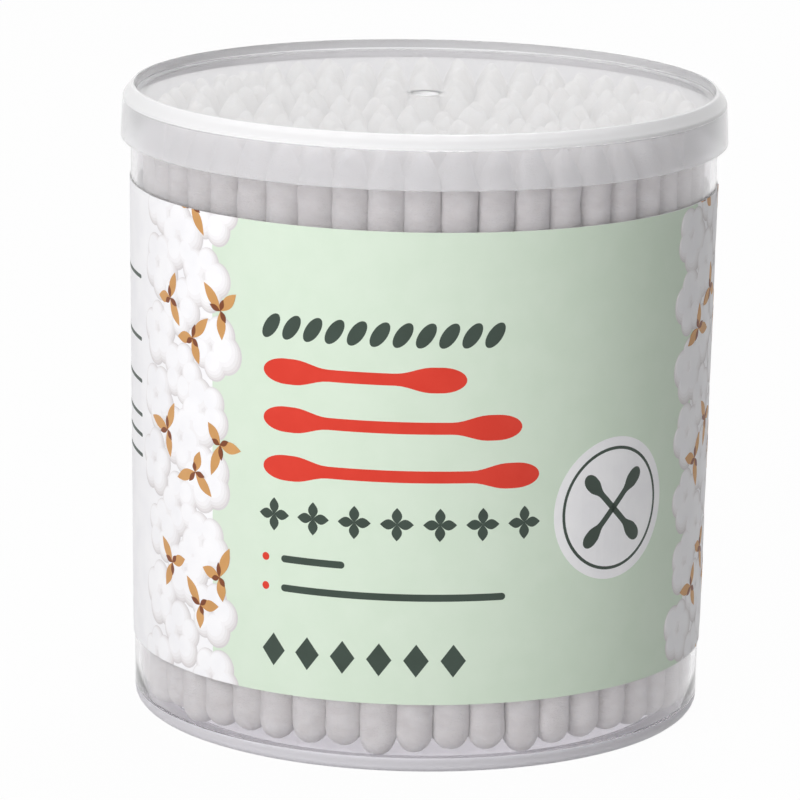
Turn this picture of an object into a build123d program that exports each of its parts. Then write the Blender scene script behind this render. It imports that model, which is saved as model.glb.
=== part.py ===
from build123d import *
import os
from math import asin, cos, pi, sin

# Round clear drum of cotton swabs: a drafted tub, a lift-off lid, a wrap label
# and swabs that stand on the tub's floor in rings, from the wall to the middle.
# Millimetres, +Z up, origin at the middle of the base.

# Swabs
swab_length = 76.2
head_length = 14.0
head_diameter = 4.3
head_mouth_diameter = 2.7
stem_diameter = 2.4
swab_floor_gap = 0.1
swab_wall_gap = 0.05
swab_ring_gap = 0.2
ring_turn_share = 0.38

# Facets of the swabs: the ring at the wall shows, the others stand behind it
wall_head_sides = 6
inner_upper_head_sides = 4
inner_lower_head_sides = 3
stem_sides = 3

# Where a head is widest, as a share of its length from its mouth
head_crown_share = 0.6

# Tub
tub_mouth_diameter = 74.5
tub_draft = 0.98
tub_wall = 0.75
tub_floor_thickness = 0.9
tub_foot_height = 0.6
tub_foot_width = 2.2
tub_corner = 1.2

# Lid
lid_mouth_gap = 0.25
lid_wall = 0.7
lid_skirt_flare = 0.3
lid_panel_thickness = 0.7
lid_skirt_depth = 6.7
lid_rim_rise = 1.2
lid_rim_width = 1.5
lid_rim_crest = 0.4
lid_bevel_height = 1.4
lid_recess_draft = 0.2
lid_seat_gap = 0.15
lid_swab_gap = 0.3
gate_dimple_diameter = 3.5
gate_dimple_depth = 0.25

# Label
label_thickness = 0.12
label_glue = 0.05
label_base_gap = 9.0
label_lid_gap = 5.2

# Heights that follow from the sizes above
floor_top = tub_foot_height + tub_floor_thickness
swab_base = floor_top + swab_floor_gap
swab_tip = swab_base + swab_length
panel_under = swab_tip + lid_swab_gap
panel_top = panel_under + lid_panel_thickness
lid_top = panel_top + lid_rim_rise
skirt_base = lid_top - lid_skirt_depth
tub_top = panel_under - lid_seat_gap
label_base = label_base_gap
label_top = skirt_base - label_lid_gap

# Radii that follow from the sizes above
head_radius = head_diameter / 2
tub_mouth_radius = tub_mouth_diameter / 2
tub_base_radius = tub_mouth_radius - tub_draft
wall_draft = tub_draft / tub_top
bore_floor_radius = tub_base_radius + wall_draft * floor_top - tub_wall
first_ring_radius = bore_floor_radius - head_radius - swab_wall_gap
ring_step = head_diameter + swab_ring_gap
crease_radius = tub_mouth_radius + lid_mouth_gap + lid_wall
skirt_radius = crease_radius + lid_skirt_flare


def tub_radius(height):
    """Outer radius of the drafted tub wall at a height."""
    return tub_base_radius + wall_draft * height


def outline_side(start, end):
    """Straight side of a turned outline. A sloping one is a two-point Bezier curve, so that a tall drafted
    wall keeps facets of its full height."""
    ends = [(radius, 0, height) for radius, height in (start, end)]
    slopes = start[0] != end[0] and start[1] != end[1]
    return Bezier(*ends) if slopes else Line(*ends)


def turned(outline):
    """Solid turned about the Z axis from (radius, height) points."""
    ends = outline[1:] + outline[:1]
    section = make_face([outline_side(start, end) for start, end in zip(outline, ends)])
    return revolve(section, Axis.Z)


def make_tub():
    """Thin drafted wall on a floor that is lifted off the table by a foot ring."""
    foot_outer = tub_base_radius - tub_corner
    foot_inner = foot_outer - tub_foot_width
    return turned([
        (0, tub_foot_height),
        (foot_inner, tub_foot_height),
        (foot_inner, 0),
        (foot_outer, 0),
        (tub_radius(tub_corner), tub_corner),
        (tub_mouth_radius, tub_top),
        (tub_mouth_radius - tub_wall, tub_top),
        (bore_floor_radius, floor_top),
        (0, floor_top),
    ])


def make_lid():
    """Flat panel sunk inside a bevelled rim, with a skirt that hangs round the tub's mouth."""
    crease_height = lid_top - lid_bevel_height
    crest_inner = crease_radius - lid_rim_width
    dimple_radius = gate_dimple_diameter / 2
    dimple_floor = panel_top - gate_dimple_depth
    return turned([
        (0, panel_under),
        (crease_radius - lid_wall, panel_under),
        (skirt_radius - lid_wall, skirt_base),
        (skirt_radius, skirt_base),
        (crease_radius, crease_height),
        (crest_inner + lid_rim_crest, lid_top),
        (crest_inner, lid_top),
        (crest_inner - lid_recess_draft, panel_top),
        (dimple_radius, panel_top),
        (dimple_radius, dimple_floor),
        (0, dimple_floor),
    ])


def make_label():
    """Film that wraps the tub wall all round, on a thin line of glue."""
    inner_base = tub_radius(label_base) + label_glue
    inner_top = tub_radius(label_top) + label_glue
    return turned([
        (inner_base, label_base),
        (inner_base + label_thickness, label_base),
        (inner_top + label_thickness, label_top),
        (inner_top, label_top),
    ])


def level_corners(radius, height, sides):
    """Corners of a level regular polygon about the Z axis."""
    turns = [2 * pi * corner / sides for corner in range(sides)]
    return [Vector(radius * cos(turn), radius * sin(turn), height) for turn in turns]


def flat_face(corners):
    return Face(Wire.make_polygon(corners, close=True))


def faceted_solid(sections, sides, tip_height=None):
    """Flat-sided solid through (radius, height) sections, closed by a point or by its last section."""
    rings = [level_corners(radius, height, sides) for radius, height in sections]
    faces = [flat_face(rings[0])]
    for lower, upper in zip(rings, rings[1:]):
        for corner in range(sides):
            after = (corner + 1) % sides
            faces.append(flat_face([lower[corner], lower[after], upper[after], upper[corner]]))
    last = rings[-1]
    if tip_height is None:
        faces.append(flat_face(last))
    else:
        tip = Vector(0, 0, tip_height)
        for corner in range(sides):
            faces.append(flat_face([last[corner], last[(corner + 1) % sides], tip]))
    return Solid(Shell(faces))


def make_head(sides):
    """Cotton head with its mouth at the origin and its tip up."""
    sections = [(head_mouth_diameter / 2, 0), (head_radius, head_length * head_crown_share)]
    return faceted_solid(sections, sides, head_length)


def make_stem():
    """Paper stem between the mouths of its two heads, with its lower end at the origin."""
    stem_radius = stem_diameter / 2
    return faceted_solid([(stem_radius, 0), (stem_radius, swab_length - 2 * head_length)], stem_sides)


def ring_radii():
    """Radii of the rings, from the wall inwards, with one swab in the middle if it fits."""
    radii = []
    radius = first_ring_radius
    while radius > head_radius:
        radii.append(radius)
        radius -= ring_step
    if radius + ring_step > head_diameter:
        radii.append(0)
    return radii


def ring_places(ring, radius):
    """Level places of the swabs of a ring: as many as stand side by side, evenly spread."""
    if radius == 0:
        return [Location((0, 0, 0))]
    count = int(pi / asin(head_radius / radius))
    pitch = 360 / count
    first = ring * ring_turn_share * pitch
    return [Rot(0, 0, first + swab * pitch) * Pos(radius, 0, 0) for swab in range(count)]


def make_swabs():
    """Groups of stems, upper heads and lower heads, one of each for every ring."""
    wall_head = make_head(wall_head_sides)
    inner_upper_head = make_head(inner_upper_head_sides)
    inner_lower_head = make_head(inner_lower_head_sides)
    stem = Pos(0, 0, swab_base + head_length) * make_stem()
    groups = {}
    for ring, radius in enumerate(ring_radii()):
        at_wall = ring == 0
        upper_head = wall_head if at_wall else inner_upper_head
        lower_head = wall_head if at_wall else inner_lower_head
        upper = Pos(0, 0, swab_tip - head_length) * upper_head
        lower = Pos(0, 0, swab_base + head_length) * Rot(180, 0, 0) * lower_head
        places = ring_places(ring, radius)
        groups[f"upper_heads_ring_{ring + 1}"] = [place * upper for place in places]
        groups[f"paper_stems_ring_{ring + 1}"] = [place * stem for place in places]
        groups[f"lower_heads_ring_{ring + 1}"] = [place * lower for place in places]
    return groups


os.makedirs("parts", exist_ok=True)
export_step(make_tub(), "parts/tub.step")
export_step(make_lid(), "parts/lid.step")
export_step(make_label(), "parts/label.step")
for name, solids in make_swabs().items():
    export_step(Compound(children=solids), f"parts/{name}.step")
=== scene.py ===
import math
import random

import bmesh
import bpy
from mathutils import Color, Matrix, Vector, noise


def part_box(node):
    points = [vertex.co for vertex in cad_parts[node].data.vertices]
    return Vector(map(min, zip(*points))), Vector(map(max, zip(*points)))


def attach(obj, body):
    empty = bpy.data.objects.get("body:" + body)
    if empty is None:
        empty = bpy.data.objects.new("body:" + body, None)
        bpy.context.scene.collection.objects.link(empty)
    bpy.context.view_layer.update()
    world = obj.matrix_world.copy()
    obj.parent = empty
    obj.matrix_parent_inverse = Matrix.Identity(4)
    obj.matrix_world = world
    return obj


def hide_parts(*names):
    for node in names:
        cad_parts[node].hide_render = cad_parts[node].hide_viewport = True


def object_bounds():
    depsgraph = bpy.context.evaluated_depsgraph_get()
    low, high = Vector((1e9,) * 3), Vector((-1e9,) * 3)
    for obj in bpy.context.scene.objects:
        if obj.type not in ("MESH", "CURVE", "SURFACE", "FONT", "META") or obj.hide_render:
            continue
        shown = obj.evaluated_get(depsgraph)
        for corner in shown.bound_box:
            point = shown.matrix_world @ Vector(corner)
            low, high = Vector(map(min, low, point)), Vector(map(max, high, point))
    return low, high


# Round clear drum of cotton swabs, dressed for the picture's view.
# Metres, +Z up, origin at the middle of the base, front of the label towards -Y.
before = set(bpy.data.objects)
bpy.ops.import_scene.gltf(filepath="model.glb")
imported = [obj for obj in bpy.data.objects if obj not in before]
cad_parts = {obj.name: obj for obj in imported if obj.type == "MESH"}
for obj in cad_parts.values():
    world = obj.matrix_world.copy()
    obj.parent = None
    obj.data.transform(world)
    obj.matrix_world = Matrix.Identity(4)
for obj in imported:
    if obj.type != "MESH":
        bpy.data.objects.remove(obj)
cad_low, cad_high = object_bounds()
tub_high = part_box("tub")[1]
lid_low, lid_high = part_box("lid")
label_low, label_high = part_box("label")

# Camera: lens and sensor in millimetres, distances in metres, angles in degrees, picture in pixels
picture_side = 800
camera_lens = 232.4
camera_sensor = 36.0
camera_distance = 0.662
camera_elevation = 12.75
camera_roll = 0.95
camera_clips = (0.01, 20)
target_pixel = (420.2, 392.6)

# Walls of the tub and the lid, in metres
tub_wall = 0.00075
tub_floor_top = 0.0015
tub_foot_height = 0.0006
tub_foot_width = 0.0022
tub_draft = 0.00098
tub_corner = 0.0016
tub_base_band = 0.0021
lid_wall = 0.0007
lid_skirt_flare = 0.0003
lid_panel_under = 0.0019
lid_rim_rise = 0.0012
lid_rim_width = 0.0015
lid_rim_crest = 0.0004
lid_bevel_height = 0.0014
gate_dimple_radius = 0.00175
lid_recess_draft = 0.00015
gate_dimple_depth = 0.00025
gate_dimple_draft = 0.00015

# Roundings of edges in metres, and steps of turned shapes
edge_rounding = 0.00015
skirt_rounding = 0.0003
crease_rounding = 0.0006
crest_rounding = 0.00045
recess_rounding = 0.0003
dimple_rounding = 0.000075
sharp_angle = 40.0
turn_segments = 192
arc_steps = 6
guard_share = 0.04

# Cotton heads and stems, in metres. A tip has its share of the head's length and two powers of its curve.
head_length = 0.014
head_radius = 0.00236
head_mouth_radius = 0.00135
upper_tip_shares = (0.33, 1.12, 0.54)
lower_tip_shares = (0.20, 2.0, 0.50)
head_swell_share = 0.34
stem_radius = 0.0012
stem_segments = 12
upper_lump = 0.00034
lower_lump = 0.00015
lumps_per_metre = 450
lump_seed_span = 10
tip_drop = 0.0009
head_lean = 0.00022
head_girth_share = 0.04
wall_press_gap = 0.00002
wall_head_grid = (26, 20)
inner_head_grid = (18, 14)
tip_row_power = 1.6
place_hair = 1e-6
place_digits = 6

# Label: film in metres, fields in degrees round the tub from the front
label_film = 0.00012
label_glue = 0.00005
label_press = 0.00002
label_segments = 256
green_field = (-44.0, 66.0)
print_lift = 0.000012
print_root = 0.00004
print_cut = 0.0012

# Print on the green field: left and right ends in degrees, heights and thicknesses in metres
title_drops = (-29.4, 14.0, 11, 0.0554)
drop_size = (0.0009, 0.0018)
drop_turn = -35.0
red_swabs = ((-31.0, 8.8, 0.0499), (-31.0, 19.7, 0.0439), (-31.0, 23.4, 0.0378))
red_swab_head = (0.0088, 0.0032)
red_swab_stem = 0.0015
sign_tip_share = 0.36
sign_mouth_share = 0.48
florets = (-28.6, 20.6, 7, 0.0318)
floret_petals = 4
petal_size = (0.0021, 0.0013)
bullet_rules = ((-27.0, -14.0, 0.0263), (-27.0, 17.1, 0.0226))
bullet_angle = -30.4
bullet_radius = 0.0005
rule_thickness = 0.0009
diamonds = (-28.6, 7.2, 6, 0.0146)
diamond_size = (0.0016, 0.0021)
back_rules = (0.0570, 0.0490, 0.0436, 0.0392, 0.0366, 0.0340)
back_rule_ends = (-128.0, -71.0)
back_rule_thickness = 0.0005
seam_angle = 182.0
seam_width = 0.0003
roundel_place = (40.6, 0.0322)
roundel_radius = 0.009
roundel_line = 0.0004
roundel_inset = 0.0012
roundel_sign_head_shares = (0.5, 0.26)
roundel_sign_length_share = 1.7
roundel_sign_stem_share = 0.11

# Print on the side strips: clusters of round puffs and leaf sprigs, with columns and sway in degrees
strip_seed = 7
strip_columns = (-62.0, -52.5, -44.5, 65.5, 74.0, 83.0)
puff_rows = 7
puff_sway = 1.5
puff_stagger_share = 0.5
puff_lobes = 5
puff_lobe_radius = 0.0024
puff_lobe_shares = (0.8, 1.1)
puff_spread = 0.0021

# Tones of a puff's lobe: ink, share of its radius, and how far it is shifted towards the light
puff_tone_shares = (
    ("shade", 1.0, 0.0),
    ("haze", 0.94, 0.07),
    ("mist", 0.86, 0.15),
    ("pale", 0.75, 0.24),
    ("white", 0.60, 0.35),
)
puff_light_share = 0.6

# Leaf sprigs: place as shares of a puff's spread and of the row pitch, turns in radians
sprig_place_shares = (1.3, -0.42)
sprig_blades = 3
sprig_layer = 6
blade_sway = 0.3
leaf_length = 0.0040
leaf_length_shares = (0.7, 1.1)
leaf_width = 0.0015
vein_shares = (0.45, 0.5)
vein_turn = 0.5

# Steps of printed outlines
oval_steps = 28
roundel_steps = 64
diamond_corners = 4
bar_end_steps = 8
leaf_steps = 8
sign_head_steps = 18

# Clear plastics: tint, roughness, transmission, share of lamp light let through, strength of the ripple
plastics = {
    "tub_wall": ((0.97, 0.955, 0.975), 0.02, 0.98, 0.68, 0.05),
    "tub_base": ((0.90, 0.88, 0.925), 0.45, 0.40, 0.92, 0.05),
    "tub_floor": ((0.87, 0.85, 0.90), 0.05, 0.92, 0.85, 0.05),
    "lid_panel": ((0.975, 0.972, 0.98), 0.0, 0.97, 0.60, 0.01),
    "lid_skirt": ((0.92, 0.915, 0.93), 0.10, 0.74, 0.80, 0.05),
    "lid_rim": ((0.965, 0.96, 0.97), 0.15, 0.18, 0.92, 0.05),
}
plastic_index = 1.49
plastic_ripple_depth = 0.0002

# Noise textures: stretch along the axes, scale, detail and roughness
plastic_ripple = ((1, 1, 0.4), 90.0, 2.0, 0.5)
cotton_fibres = ((1, 1, 3.2), 1500.0, 6.0, 0.65)
cotton_tufts = ((1, 1, 1.5), 420.0, 3.0, 0.5)
paper_grain = ((1, 1, 0.25), 2500.0, 4.0, 0.5)
print_mottle = ((1, 1, 1), 260.0, 4.0, 0.5)

# Bumps: strength, and depth in metres
cotton_bump = (0.7, 0.0004)
paper_bump = (0.3, 0.0001)
print_bump = (0.06, 0.0001)

# Other settings of the shaders, by the names of their inputs
cotton_look = {
    "Roughness": 0.95,
    "Specular IOR Level": 0.2,
    "Sheen Weight": 0.1,
    "Sheen Roughness": 0.6,
    "Subsurface Weight": 0.35,
    "Subsurface Radius": (1.0, 0.95, 0.9),
    "Subsurface Scale": 0.0008,
}
paper_look = {"Roughness": 0.85}
print_look = {
    "Roughness": 0.5,
    "Specular IOR Level": 0.35,
    "Subsurface Radius": (1.0, 1.0, 1.0),
    "Subsurface Scale": 0.0003,
}
floor_look = {"Base Color": (0.74, 0.74, 0.74, 1), "Roughness": 0.9}
film_lamp_share = 0.8
film_edge_soak = 1.0

# Colours as screen values: dark and light end of each mottle, and where its texture runs between them
screen_white = 255
tint_span = (0.35, 0.65)
cotton_tones = ((236, 233, 232), (246, 244, 243))
paper_tones = ((232, 229, 222), (242, 240, 235))
film_edge_tones = ((246, 245, 244), (250, 249, 248))
ink_tones = {
    "white": ((243, 242, 245), (248, 247, 249)),
    "green": ((212, 227, 209), (215, 229, 212)),
    "pale": ((239, 237, 239), (243, 241, 243)),
    "mist": ((231, 228, 230), (235, 233, 234)),
    "haze": ((222, 218, 219), (226, 222, 223)),
    "shade": ((210, 205, 207), (215, 211, 212)),
    "red": ((214, 58, 42), (218, 63, 47)),
    "charcoal": ((56, 68, 60), (61, 74, 66)),
    "tan": ((200, 148, 90), (208, 156, 98)),
    "brown": ((118, 62, 34), (126, 70, 40)),
}

# Lamps: place and side in metres, power in watts, and whether plastic mirrors the lamp
lamps = {
    "key": ((-0.40, -0.69, 0.34), 0.5, 5.6, False),
    "top": ((0.05, 0.05, 0.75), 0.5, 1.7, True),
    "back": ((0.18, 0.62, 0.68), 0.4, 3.2, False),
}

# Floor and surroundings: shares of white that are seen directly, through plastic and from inside it
floor_half = 3.0
floor_gap = 0.00005
floor_seen_shares = (0.97, 0.92, 0.75)
world_seen_shares = (1.0, 0.92, 0.62)
world_ambient = 0.14


def turned_outline(corners, closed):
    """(radius, height) points of an outline whose corners are (radius, height, rounding)."""
    points = []
    count = len(corners)
    for index, (radius, height, rounding) in enumerate(corners):
        here = Vector((radius, height))
        at_end = not closed and index in (0, count - 1)
        if at_end or rounding == 0:
            points.append(here)
            continue
        to_before = Vector(corners[index - 1][:2]) - here
        to_after = Vector(corners[(index + 1) % count][:2]) - here
        half = to_before.angle(to_after) / 2
        reach = rounding / math.tan(half)
        towards = (to_before.normalized() + to_after.normalized()).normalized()
        centre = here + towards * rounding / math.sin(half)
        start = here + to_before.normalized() * reach
        end = here + to_after.normalized() * reach
        points.append(start + (to_before - to_before.normalized() * reach) * guard_share)
        first = math.atan2(start.y - centre.y, start.x - centre.x)
        turn = math.atan2(end.y - centre.y, end.x - centre.x) - first
        turn = (turn + math.pi) % (2 * math.pi) - math.pi
        for step in range(arc_steps + 1):
            angle = first + turn * step / arc_steps
            points.append(centre + Vector((math.cos(angle), math.sin(angle))) * rounding)
        points.append(end + (to_after - to_after.normalized() * reach) * guard_share)
    return points


def add_object(name, mesh, body, slot, *replaced):
    """Links a mesh as a piece that rides on a body and stands for CAD nodes."""
    piece = bpy.data.objects.new(name, mesh)
    bpy.context.scene.collection.objects.link(piece)
    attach(piece, body)
    if replaced:
        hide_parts(*replaced)
    return piece


def finish_mesh(name, build):
    """Mesh from a bmesh, with its faces smooth and facing outwards."""
    bmesh.ops.recalc_face_normals(build, faces=build.faces)
    for face in build.faces:
        face.smooth = True
    mesh = bpy.data.meshes.new(name)
    build.to_mesh(mesh)
    build.free()
    return mesh


def turned_mesh(name, corners, segments, closed=False):
    """Closed mesh turned about the Z axis from an outline of rounded corners."""
    points = turned_outline(corners, closed)
    build = bmesh.new()
    columns = []
    poles = {}
    for segment in range(segments):
        angle = 2 * math.pi * segment / segments
        column = []
        for index, point in enumerate(points):
            if point.x == 0:
                if index not in poles:
                    poles[index] = build.verts.new((0, 0, point.y))
                column.append(poles[index])
            else:
                place = (point.x * math.sin(angle), -point.x * math.cos(angle), point.y)
                column.append(build.verts.new(place))
        columns.append(column)
    rows = len(points) if closed else len(points) - 1
    for segment in range(segments):
        here = columns[segment]
        beside = columns[(segment + 1) % segments]
        for row in range(rows):
            after = (row + 1) % len(points)
            corners_here = [here[row], beside[row], beside[after], here[after]]
            build.faces.new(list(dict.fromkeys(corners_here)))
    return finish_mesh(name, build)


def make_tub():
    """Clear drafted tub on a foot ring."""
    mouth = tub_high.x
    base = mouth - tub_draft
    draft = tub_draft / tub_high.z
    foot_outer = base - tub_corner
    foot_inner = foot_outer - tub_foot_width
    floor_bore = base + draft * tub_floor_top - tub_wall
    mesh = turned_mesh("tub_shell", [
        (0, tub_foot_height, 0),
        (foot_inner, tub_foot_height, edge_rounding),
        (foot_inner, 0, edge_rounding),
        (base, 0, tub_corner),
        (base + draft * tub_base_band, tub_base_band, 0),
        (mouth, tub_high.z, edge_rounding),
        (mouth - tub_wall, tub_high.z, edge_rounding),
        (floor_bore, tub_floor_top, tub_corner - tub_wall),
        (0, tub_floor_top, 0),
    ], turn_segments)
    return add_object("tub_shell", mesh, "tub", "clear_tub", "tub")


def make_lid():
    """Hazy lid: sunk panel, bevelled rim, flared skirt and a gate dimple."""
    top = lid_high.z
    skirt = lid_high.x
    crease = skirt - lid_skirt_flare
    under = top - lid_panel_under
    panel = top - lid_rim_rise
    crest = crease - lid_rim_width
    mesh = turned_mesh("lid_shell", [
        (0, under, 0),
        (crease - lid_wall, under, edge_rounding),
        (skirt - lid_wall, lid_low.z, edge_rounding),
        (skirt, lid_low.z, skirt_rounding),
        (crease, top - lid_bevel_height, crease_rounding),
        (crest + lid_rim_crest, top, crest_rounding),
        (crest, top, edge_rounding),
        (crest - lid_recess_draft, panel, recess_rounding),
        (gate_dimple_radius, panel, dimple_rounding),
        (gate_dimple_radius - gate_dimple_draft, panel - gate_dimple_depth, dimple_rounding),
        (0, panel - gate_dimple_depth, 0),
    ], turn_segments)
    return add_object("lid_shell", mesh, "lid", "frosted_lid", "lid")


def swab_places(node, at_top):
    """Level places of a ring's swabs, read from the tips of its CAD heads."""
    low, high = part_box(node)
    tip = high.z if at_top else low.z
    found = set()
    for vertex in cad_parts[node].data.vertices:
        if abs(vertex.co.z - tip) < place_hair:
            found.add((round(vertex.co.x, place_digits), round(vertex.co.y, place_digits)))
    return sorted(found, key=lambda place: math.atan2(place[1], place[0]))


def head_profile(share, tip_shares):
    """Radius of a cotton head at a share of its length, from its mouth to its tip."""
    tip_share, tip_power, tip_round = tip_shares
    if share < head_swell_share:
        swell = math.sin(share / head_swell_share * math.pi / 2)
        return head_mouth_radius + (head_radius - head_mouth_radius) * swell
    tip_start = 1 - tip_share
    if share < tip_start:
        return head_radius
    along = (share - tip_start) / tip_share
    return head_radius * max(0.0, 1 - along ** tip_power) ** tip_round


def grid_share(row, rows):
    """Share of the length at a row of the head's grid, with rows gathered at the tip."""
    even = row / rows
    return 1 - (1 - even) ** tip_row_power


def within_bore(x, y, height):
    """Point moved in, where needed, to where cotton is pressed flat by the tub's wall."""
    wall = tub_high.x - tub_draft * (1 - height / tub_high.z)
    reach = math.hypot(x, y)
    room = wall - tub_wall - wall_press_gap
    share = min(1.0, room / reach) if reach else 1.0
    return x * share, y * share, height


def add_head(build, place, mouth_height, up, grid, draw):
    """Adds one cotton head, lumpy, slightly leaning and of its own length and girth."""
    around, rows = grid
    lump = upper_lump if up > 0 else lower_lump
    tip_shares = upper_tip_shares if up > 0 else lower_tip_shares
    length = head_length - draw.random() * tip_drop
    girth = 1 - draw.random() * head_girth_share
    lean = Vector((draw.uniform(-1, 1), draw.uniform(-1, 1))) * head_lean
    spin = draw.random() * 2 * math.pi
    seed = Vector((draw.random(), draw.random(), draw.random())) * lump_seed_span
    rings = []
    for row in range(rows):
        share = grid_share(row, rows)
        radius = head_profile(share, tip_shares) * girth
        height = share * length
        ring = []
        for step in range(around):
            angle = spin + 2 * math.pi * step / around
            out = Vector((math.cos(angle), math.sin(angle), 0))
            probe = (out * radius + Vector((0, 0, height))) * lumps_per_metre + seed
            bump = noise.noise(probe) * lump * share
            level = out * (radius + bump)
            x = place[0] + level.x + lean.x * share
            y = place[1] + level.y + lean.y * share
            ring.append(build.verts.new(within_bore(x, y, mouth_height + up * height)))
        rings.append(ring)
    tip = build.verts.new((place[0] + lean.x, place[1] + lean.y, mouth_height + up * length))
    for lower, upper in zip(rings, rings[1:]):
        for step in range(around):
            after = (step + 1) % around
            build.faces.new([lower[step], lower[after], upper[after], upper[step]])
    for step in range(around):
        build.faces.new([rings[-1][step], rings[-1][(step + 1) % around], tip])
    build.faces.new(list(reversed(rings[0])))


def make_heads(ring, at_top):
    """All cotton heads of one ring, at the top or at the bottom of the swabs."""
    end = "upper" if at_top else "lower"
    node = f"{end}_heads_ring_{ring}"
    low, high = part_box(node)
    mouth_height = low.z if at_top else high.z
    draw = random.Random(node)
    grid = wall_head_grid if ring == 1 else inner_head_grid
    build = bmesh.new()
    for place in swab_places(node, at_top):
        add_head(build, place, mouth_height, 1 if at_top else -1, grid, draw)
    name = f"{end}_cotton_ring_{ring}"
    return add_object(name, finish_mesh(name, build), "tub", "cotton", node)


def make_stems(ring):
    """All paper stems of one ring."""
    node = f"paper_stems_ring_{ring}"
    low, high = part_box(node)
    build = bmesh.new()
    for x, y in swab_places(f"upper_heads_ring_{ring}", True):
        place = Matrix.Translation((x, y, (low.z + high.z) / 2))
        bmesh.ops.create_cone(build, cap_ends=True, segments=stem_segments, radius1=stem_radius,
                              radius2=stem_radius, depth=high.z - low.z, matrix=place)
    mesh = finish_mesh(f"stems_ring_{ring}", build)
    mesh.set_sharp_from_angle(angle=math.radians(sharp_angle))
    return add_object(f"stems_ring_{ring}", mesh, "tub", "stem_paper", node)


def new_material(name, look):
    """Node material and its Principled shader, whose inputs are set by name."""
    material = bpy.data.materials.new(name)
    material.use_nodes = True
    shader = material.node_tree.nodes["Principled BSDF"]
    for socket, value in look.items():
        shader.inputs[socket].default_value = value
    return material, material.node_tree, shader


def add_node(tree, kind, **values):
    """Node of a tree, with settings by name and inputs given as in_Scale and so on."""
    node = tree.nodes.new(kind)
    for key, value in values.items():
        if key.startswith("in_"):
            node.inputs[key.removeprefix("in_")].default_value = value
        else:
            setattr(node, key, value)
    return node


def noise_texture(tree, stretch, scale, detail, roughness):
    """Output of a noise texture in object space, stretched along the axes."""
    place = add_node(tree, "ShaderNodeTexCoord")
    mapping = add_node(tree, "ShaderNodeMapping", in_Scale=stretch)
    texture = add_node(tree, "ShaderNodeTexNoise", in_Scale=scale, in_Detail=detail, in_Roughness=roughness)
    tree.links.new(place.outputs["Object"], mapping.inputs["Vector"])
    tree.links.new(mapping.outputs["Vector"], texture.inputs["Vector"])
    return texture.outputs["Fac"]


def add_bump(tree, shader, height, strength, depth):
    """Relief of a surface from a texture."""
    bump = add_node(tree, "ShaderNodeBump", in_Strength=strength, in_Distance=depth)
    tree.links.new(height, bump.inputs["Height"])
    tree.links.new(bump.outputs["Normal"], shader.inputs["Normal"])


def srgb(channels):
    """Linear colour, with its alpha, from screen values."""
    screen = Color([channel / screen_white for channel in channels])
    return (*screen.from_srgb_to_scene_linear(), 1)


def add_tint(tree, shader, factor, tones):
    """Base colour that runs between two tones with a texture."""
    ramp = add_node(tree, "ShaderNodeValToRGB")
    for stop, position, tone in zip(ramp.color_ramp.elements, tint_span, tones):
        stop.position = position
        stop.color = srgb(tone)
    tree.links.new(factor, ramp.inputs["Fac"])
    tree.links.new(ramp.outputs["Color"], shader.inputs["Base Color"])


def let_lamps_through(tree, shader, lamp_share):
    """Lets a share of the lamps' light through a surface to what is behind it."""
    path = add_node(tree, "ShaderNodeLightPath")
    open_way = add_node(tree, "ShaderNodeBsdfTransparent", in_Color=(lamp_share, lamp_share, lamp_share, 1))
    mix = add_node(tree, "ShaderNodeMixShader")
    tree.links.new(path.outputs["Is Shadow Ray"], mix.inputs["Fac"])
    tree.links.new(shader.outputs["BSDF"], mix.inputs[1])
    tree.links.new(open_way.outputs["BSDF"], mix.inputs[2])
    tree.links.new(mix.outputs["Shader"], tree.nodes["Material Output"].inputs["Surface"])


def clear_plastic(name):
    """Clear moulded plastic, slightly rippled, that lets the lamps' light through to what is behind it."""
    tint, roughness, transmission, lamp_share, ripple_strength = plastics[name]
    material, tree, shader = new_material(name, {
        "Base Color": (*tint, 1),
        "Roughness": roughness,
        "IOR": plastic_index,
        "Transmission Weight": transmission,
    })
    add_bump(tree, shader, noise_texture(tree, *plastic_ripple), ripple_strength, plastic_ripple_depth)
    let_lamps_through(tree, shader, lamp_share)
    return material


def cotton():
    """Soft wound cotton: pale, matt, with fine fibres lying round the head."""
    material, tree, shader = new_material("cotton", cotton_look)
    add_bump(tree, shader, noise_texture(tree, *cotton_fibres), *cotton_bump)
    add_tint(tree, shader, noise_texture(tree, *cotton_tufts), cotton_tones)
    return material


def stem_paper():
    """Rolled white paper."""
    material, tree, shader = new_material("stem_paper", paper_look)
    grain = noise_texture(tree, *paper_grain)
    add_bump(tree, shader, grain, *paper_bump)
    add_tint(tree, shader, grain, paper_tones)
    return material


def printed(name, tones, soak=0.0):
    """Satin print on thin film, with a faint mottle. Lamp light passes it, and soaks in by a share."""
    material, tree, shader = new_material(name, print_look)
    shader.inputs["Subsurface Weight"].default_value = soak
    mottle = noise_texture(tree, *print_mottle)
    add_bump(tree, shader, mottle, *print_bump)
    add_tint(tree, shader, mottle, tones)
    let_lamps_through(tree, shader, film_lamp_share)
    return material


def on_label(angle, height, lift):
    """Point on the label's face at an angle from the front, lifted off it."""
    slope = tub_draft / tub_high.z
    radius = label_high.x - slope * (label_high.z - height) + lift
    return Vector((radius * math.sin(angle), -radius * math.cos(angle), height))


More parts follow.
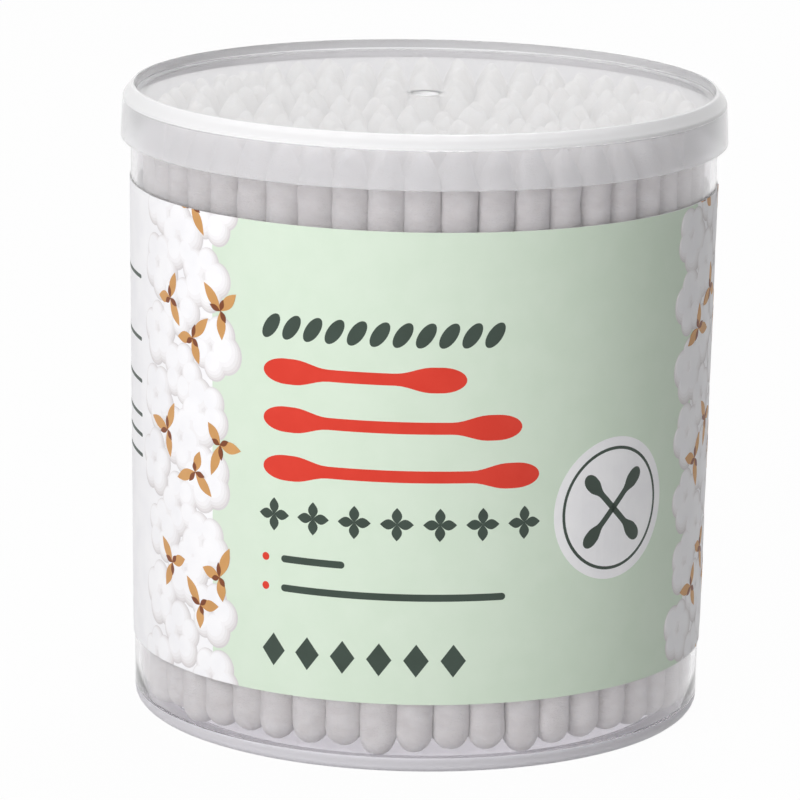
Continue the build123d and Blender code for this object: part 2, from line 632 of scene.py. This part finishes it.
def make_label(inks, film_edge):
    """Film round the tub: green at the front, white at the back, with a pale cut edge.
    It reaches through its glue a hair into the wall, so that no air lies between them."""
    build = bmesh.new()
    low, high = label_low.z, label_high.z
    depth = label_film + label_glue + label_press
    outline = [(low, -depth), (low, 0), (high, 0), (high, -depth)]
    face_side = outline.index((low, 0))
    looks = [inks["white"], inks["green"], film_edge]
    columns = []
    for segment in range(label_segments):
        angle = 2 * math.pi * segment / label_segments
        columns.append([build.verts.new(on_label(angle, height, lift)) for height, lift in outline])
    for segment in range(label_segments):
        here, beside = columns[segment], columns[(segment + 1) % label_segments]
        middle = (math.degrees(2 * math.pi * (segment + 0.5) / label_segments) + 180) % 360 - 180
        in_field = green_field[0] < middle < green_field[1]
        for side in range(len(outline)):
            after = (side + 1) % len(outline)
            look = film_edge
            if side == face_side:
                look = inks["green" if in_field else "white"]
            face = build.faces.new([here[side], beside[side], beside[after], here[after]])
            face.material_index = looks.index(look)
    mesh = finish_mesh("label_film", build)
    mesh.set_sharp_from_angle(angle=math.radians(sharp_angle))
    for look in looks:
        mesh.materials.append(look)
    add_object("label_film", mesh, "tub", "printed_label", "label")


def arc(angle):
    """Way along the label from its front line to an angle in degrees."""
    return math.radians(angle) * label_high.x


def oval(centre, half_width, half_height, turn=0.0, steps=oval_steps):
    """Outline of a turned oval."""
    points = []
    for step in range(steps):
        angle = 2 * math.pi * step / steps
        spot = Vector((half_width * math.cos(angle), half_height * math.sin(angle)))
        points.append(Vector(centre) + Matrix.Rotation(turn, 2) @ spot)
    return points


def bar(left, right, height, thickness):
    """Outline of a level bar with round ends."""
    half = thickness / 2
    points = []
    for end, first in ((right - half, -math.pi / 2), (left + half, math.pi / 2)):
        for step in range(bar_end_steps + 1):
            angle = first + math.pi * step / bar_end_steps
            points.append(Vector((end + half * math.cos(angle), height + half * math.sin(angle))))
    return points


def leaf(root, length, width, turn):
    """Outline of a pointed leaf that grows from its root."""
    edge = []
    for step in range(leaf_steps + 1):
        edge.append((length * step / leaf_steps, width / 2 * math.sin(math.pi * step / leaf_steps)))
    outline = [(x, -y) for x, y in edge] + [(x, y) for x, y in reversed(edge[1:-1])]
    return [Vector(root) + Matrix.Rotation(turn, 2) @ Vector(point) for point in outline]


def sign_girth(share, head_thick, stem):
    """Girth of a swab sign's head at a share of its length, from its round tip to its mouth on the stem."""
    if share < sign_tip_share:
        return head_thick * math.sqrt(1 - (1 - share / sign_tip_share) ** 2)
    past = max(0.0, (share - sign_mouth_share) / (1 - sign_mouth_share))
    return stem + (head_thick - stem) * (1 + math.cos(math.pi * past)) / 2


def swab_sign(centre, length, head, stem, turn=0.0):
    """Outline of a plain swab sign: a full head with a round tip on each end of a thin stem."""
    head_long, head_thick = head
    half_edge = []
    for step in range(1, sign_head_steps + 1):
        share = 1 - math.cos(math.pi / 2 * step / sign_head_steps)
        half_edge.append((length / 2 - share * head_long, sign_girth(share, head_thick, stem) / 2))
    upper = [(-x, y) for x, y in half_edge] + [(x, y) for x, y in reversed(half_edge)]
    lower = [(x, -y) for x, y in reversed(upper)]
    ring = [(-length / 2, 0)] + upper + [(length / 2, 0)] + lower
    return [Vector(centre) + Matrix.Rotation(turn, 2) @ Vector(point) for point in ring]


def spread(left, right, count, height):
    """Evenly spread places in a level row between two angles."""
    return [(arc(left + (right - left) * place / (count - 1)), height) for place in range(count)]


def front_shapes():
    """Signs, bars and dots on the green field, as (layer, ink, outline)."""
    shapes = []
    for centre in spread(*title_drops):
        shapes.append((1, "charcoal", oval(centre, *drop_size, math.radians(drop_turn))))
    for left, right, height in red_swabs:
        centre = (arc((left + right) / 2), height)
        sign = swab_sign(centre, arc(right - left), red_swab_head, red_swab_stem)
        shapes.append((1, "red", sign))
    for centre in spread(*florets):
        for petal in range(floret_petals):
            turn = 2 * math.pi * petal / floret_petals
            shapes.append((1, "charcoal", leaf(centre, *petal_size, turn)))
    for left, right, height in bullet_rules:
        shapes.append((1, "charcoal", bar(arc(left), arc(right), height, rule_thickness)))
        shapes.append((1, "red", oval((arc(bullet_angle), height), bullet_radius, bullet_radius)))
    for centre in spread(*diamonds):
        shapes.append((1, "charcoal", oval(centre, *diamond_size, steps=diamond_corners)))
    left, right = back_rule_ends
    for height in back_rules:
        shapes.append((1, "charcoal", bar(arc(left), arc(right), height, back_rule_thickness)))
    seam = arc(seam_angle)
    sides = ((seam, label_low.z), (seam + seam_width, label_low.z))
    tops = ((seam + seam_width, label_high.z), (seam, label_high.z))
    shapes.append((1, "shade", sides + tops))
    return shapes


def roundel_shapes():
    """White disc with a dark line near its edge and two crossed swab signs."""
    angle, height = roundel_place
    centre = (arc(angle), height)
    line_radius = roundel_radius - roundel_inset
    inner_radius = line_radius - roundel_line
    shapes = []
    discs = (("white", roundel_radius), ("charcoal", line_radius), ("white", inner_radius))
    for layer, (ink, radius) in enumerate(discs, start=1):
        shapes.append((layer, ink, oval(centre, radius, radius, steps=roundel_steps)))
    length = inner_radius * roundel_sign_length_share
    head = [inner_radius * share for share in roundel_sign_head_shares]
    stem = inner_radius * roundel_sign_stem_share
    for turn in (math.pi / 4, -math.pi / 4):
        shapes.append((len(discs) + 1, "charcoal", swab_sign(centre, length, head, stem, turn)))
    return shapes


def puff_shapes(centre, first, draw):
    """Lobes of one puff, each in tones that grow paler towards the light."""
    shapes = []
    for lobe in range(puff_lobes):
        turn = first + 2 * math.pi * lobe / puff_lobes
        size = puff_lobe_radius * draw.uniform(*puff_lobe_shares)
        spot = centre + Vector((math.cos(turn), math.sin(turn))) * puff_spread
        for layer, (ink, share, shift) in enumerate(puff_tone_shares, start=1):
            lit = spot + Vector((-size, size)) * shift * puff_light_share
            shapes.append((layer, ink, oval(lit, size * share, size * share)))
    return shapes


def sprig_shapes(root, first, draw):
    """Tan leaves of one sprig, each with a brown vein at its root."""
    shapes = []
    vein_length_share, vein_width_share = vein_shares
    for blade in range(sprig_blades):
        turn = first + 2 * math.pi * blade / sprig_blades + draw.uniform(-blade_sway, blade_sway)
        length = leaf_length * draw.uniform(*leaf_length_shares)
        vein = leaf(root, length * vein_length_share, leaf_width * vein_width_share, turn + vein_turn)
        shapes.append((sprig_layer, "tan", leaf(root, length, leaf_width, turn)))
        shapes.append((sprig_layer + 1, "brown", vein))
    return shapes


def strip_shapes():
    """Round puffs in staggered rows with leaf sprigs between them."""
    draw = random.Random(strip_seed)
    pitch = (label_high.z - label_low.z) / puff_rows
    aside_share, up_share = sprig_place_shares
    shapes = []
    for column, angle in enumerate(strip_columns):
        for row in range(puff_rows + 1):
            height = label_low.z + pitch * (row + puff_stagger_share * (column % 2))
            centre = Vector((arc(angle + draw.uniform(-puff_sway, puff_sway)), height))
            first = draw.random() * math.pi
            shapes += puff_shapes(centre, first, draw)
            if (row + column) % 2 == 0:
                root = centre + Vector((puff_spread * aside_share, pitch * up_share))
                shapes += sprig_shapes(root, first, draw)
    return shapes


def cut_outline(outline):
    """Flat mesh of an outline, cut into narrow bands and kept within the label's edges."""
    flat = bmesh.new()
    flat.faces.new([flat.verts.new((u, v, 0)) for u, v in outline])
    left = min(point[0] for point in outline)
    right = max(point[0] for point in outline)
    count = int((right - left) / print_cut)
    cuts = [((left + print_cut * cut, 0, 0), (1, 0, 0)) for cut in range(1, count + 1)]
    edges = [((0, label_low.z, 0), (0, -1, 0)), ((0, label_high.z, 0), (0, 1, 0))]
    for place, out in cuts + edges:
        geometry = flat.verts[:] + flat.edges[:] + flat.faces[:]
        bmesh.ops.bisect_plane(flat, geom=geometry, plane_co=place, plane_no=out, clear_outer=out[0] == 0)
    bmesh.ops.triangulate(flat, faces=flat.faces[:])
    flat.verts.index_update()
    flat.verts.ensure_lookup_table()
    flat.normal_update()
    return flat


def make_print(inks, shapes):
    """Thin closed layers of ink, wrapped on the label's face and rooted in its film."""
    names = list(inks)
    corners = []
    faces = []
    face_inks = []
    for layer, ink, outline in shapes:
        flat = cut_outline(outline)
        start = len(corners)
        below = len(flat.verts)
        for lift in (print_lift * layer, -print_root):
            for vertex in flat.verts:
                corners.append(on_label(vertex.co.x / label_high.x, vertex.co.y, lift))
        flipped = any(face.normal.z < 0 for face in flat.faces)
        for face in flat.faces:
            turn = [start + vertex.index for vertex in face.verts]
            top = turn[::-1] if flipped else turn
            faces.append(top)
            faces.append([below + index for index in reversed(top)])
            for first, second in zip(top, top[1:] + top[:1]):
                edge = flat.edges.get((flat.verts[first - start], flat.verts[second - start]))
                if edge.is_boundary:
                    faces.append([second, first, below + first, below + second])
        face_inks += [names.index(ink)] * (len(faces) - len(face_inks))
        flat.free()
    mesh = bpy.data.meshes.new("label_print")
    mesh.from_pydata(corners, [], faces)
    for ink in inks.values():
        mesh.materials.append(ink)
    mesh.polygons.foreach_set("material_index", face_inks)
    add_object("label_print", mesh, "tub", "printed_label")


def make_camera():
    """Camera at the picture's angle, aimed at the middle of the drum."""
    centre = Vector((0, 0, cad_high.z / 2))
    tilt = math.radians(camera_elevation)
    back = Vector((0, -math.cos(tilt), math.sin(tilt)))
    right = Vector((1, 0, 0))
    up = back.cross(right)
    turn = Matrix.Rotation(math.radians(camera_roll), 3, back)
    right, up = turn @ right, turn @ up
    lens = bpy.data.cameras.new("camera")
    lens.lens = camera_lens
    lens.sensor_width = camera_sensor
    lens.shift_x = (picture_side / 2 - target_pixel[0]) / picture_side
    lens.shift_y = (target_pixel[1] - picture_side / 2) / picture_side
    lens.clip_start, lens.clip_end = camera_clips
    camera = bpy.data.objects.new("camera", lens)
    camera.matrix_world = Matrix((
        (right.x, up.x, back.x, 0),
        (right.y, up.y, back.y, 0),
        (right.z, up.z, back.z, 0),
        (0, 0, 0, 1),
    ))
    camera.location = centre + back * camera_distance
    bpy.context.scene.collection.objects.link(camera)
    bpy.context.scene.camera = camera


def maths(tree, operation, first, second):
    """Output of a Math node whose inputs are numbers or other outputs."""
    node = add_node(tree, "ShaderNodeMath", operation=operation)
    for socket, value in zip(node.inputs, (first, second)):
        if isinstance(value, float):
            socket.default_value = value
        else:
            tree.links.new(value, socket)
    return node.outputs[0]


def seen_share(tree, direct, through, inside):
    """Shares for rays from the camera, for gloss and a clear view through plastic,
    and for light that has scattered and comes in through plastic. Zero for the rest."""
    path = add_node(tree, "ShaderNodeLightPath").outputs
    scattered = maths(tree, "MINIMUM", path["Diffuse Depth"], 1.0)
    plastic = maths(tree, "MAXIMUM", path["Is Glossy Ray"], path["Is Transmission Ray"])
    straight = maths(tree, "MULTIPLY", plastic, maths(tree, "SUBTRACT", 1.0, scattered))
    within = maths(tree, "MULTIPLY", path["Is Transmission Ray"], scattered)
    seen = maths(tree, "MULTIPLY", path["Is Camera Ray"], direct)
    seen = maths(tree, "MAXIMUM", seen, maths(tree, "MULTIPLY", straight, through))
    return maths(tree, "MAXIMUM", seen, maths(tree, "MULTIPLY", within, inside))


def make_floor():
    """Plain white floor that keeps a soft shadow."""
    mesh = bpy.data.meshes.new("floor")
    sides = ((-1, -1), (1, -1), (1, 1), (-1, 1))
    mesh.from_pydata([(floor_half * x, floor_half * y, 0) for x, y in sides], [], [(0, 1, 2, 3)])
    floor = bpy.data.objects.new("floor", mesh)
    bpy.context.scene.collection.objects.link(floor)
    floor.location.z = -floor_gap
    material, tree, shader = new_material("floor", floor_look)
    glow = add_node(tree, "ShaderNodeEmission", in_Strength=1.0)
    mix = add_node(tree, "ShaderNodeMixShader")
    tree.links.new(seen_share(tree, *floor_seen_shares), mix.inputs["Fac"])
    tree.links.new(shader.outputs["BSDF"], mix.inputs[1])
    tree.links.new(glow.outputs["Emission"], mix.inputs[2])
    tree.links.new(mix.outputs["Shader"], tree.nodes["Material Output"].inputs["Surface"])
    mesh.materials.append(material)


def make_world():
    """White surroundings that light the object at a plain level."""
    world = bpy.data.worlds.new("studio")
    bpy.context.scene.world = world
    world.use_nodes = True
    tree = world.node_tree
    background = tree.nodes["Background"]
    background.inputs["Color"].default_value = (1, 1, 1, 1)
    strength = add_node(tree, "ShaderNodeMapRange")
    strength.inputs["To Min"].default_value = world_ambient
    strength.inputs["To Max"].default_value = 1.0
    tree.links.new(seen_share(tree, *world_seen_shares), strength.inputs["Value"])
    tree.links.new(strength.outputs["Result"], background.inputs["Strength"])


def make_lamp(name):
    """Square soft lamp aimed at the middle of the drum."""
    place, side, watts, mirrored = lamps[name]
    lamp = bpy.data.lights.new(name, "AREA")
    lamp.size = side
    lamp.energy = watts
    holder = bpy.data.objects.new(name, lamp)
    holder.location = place
    aim = Vector((0, 0, cad_high.z / 2)) - Vector(place)
    holder.rotation_mode = "QUATERNION"
    holder.rotation_quaternion = aim.to_track_quat("-Z", "Y")
    holder.visible_glossy = mirrored
    holder.visible_transmission = mirrored
    bpy.context.scene.collection.objects.link(holder)


def dress_tub(tub):
    """Clear wall, a milky band round the base and the foot ring, and a clear floor inside the ring."""
    looks = ("tub_wall", "tub_base", "tub_floor")
    for look in looks:
        tub.data.materials.append(clear_plastic(look))
    base = tub_high.x - tub_draft
    foot_reach = base - tub_corner - tub_foot_width
    for polygon in tub.data.polygons:
        reach = polygon.center.xy.length
        outside = reach > base - tub_wall / 2
        if polygon.center.z < (tub_base_band if outside else tub_corner):
            polygon.material_index = looks.index("tub_base" if reach > foot_reach else "tub_floor")


def dress_lid(lid):
    """Clear panel, hazy skirt and a milky rim. The gate dimple is milky too, as a painted highlight."""
    looks = ("lid_panel", "lid_skirt", "lid_rim")
    for look in looks:
        lid.data.materials.append(clear_plastic(look))
    crest = lid_high.x - lid_skirt_flare - lid_rim_width
    rim_foot = lid_high.z - lid_bevel_height - lid_rim_crest
    for polygon in lid.data.polygons:
        reach = polygon.center.xy.length
        above = polygon.center.z > rim_foot
        # The gate dimple takes the milky rim plastic so that it shows as a pale spot: a painted highlight.
        if above and (reach > crest + lid_rim_crest / 2 or reach < gate_dimple_radius):
            polygon.material_index = looks.index("lid_rim")
        elif not above and reach > crest - lid_wall:
            polygon.material_index = looks.index("lid_skirt")


def make_swabs():
    """Heads and stems of every ring."""
    cotton_material = cotton()
    paper_material = stem_paper()
    ring_count = sum(1 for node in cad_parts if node.startswith("upper_heads_ring_"))
    for ring in range(1, ring_count + 1):
        for at_top in (True, False):
            make_heads(ring, at_top).data.materials.append(cotton_material)
        make_stems(ring).data.materials.append(paper_material)


bpy.context.scene.view_settings.view_transform = "Standard"
make_camera()
make_floor()
make_world()
for lamp_name in lamps:
    make_lamp(lamp_name)
dress_tub(make_tub())
dress_lid(make_lid())
make_swabs()
inks = {name: printed(f"ink_{name}", tones) for name, tones in ink_tones.items()}
make_label(inks, printed("film_edge", film_edge_tones, film_edge_soak))
make_print(inks, front_shapes() + roundel_shapes() + strip_shapes())
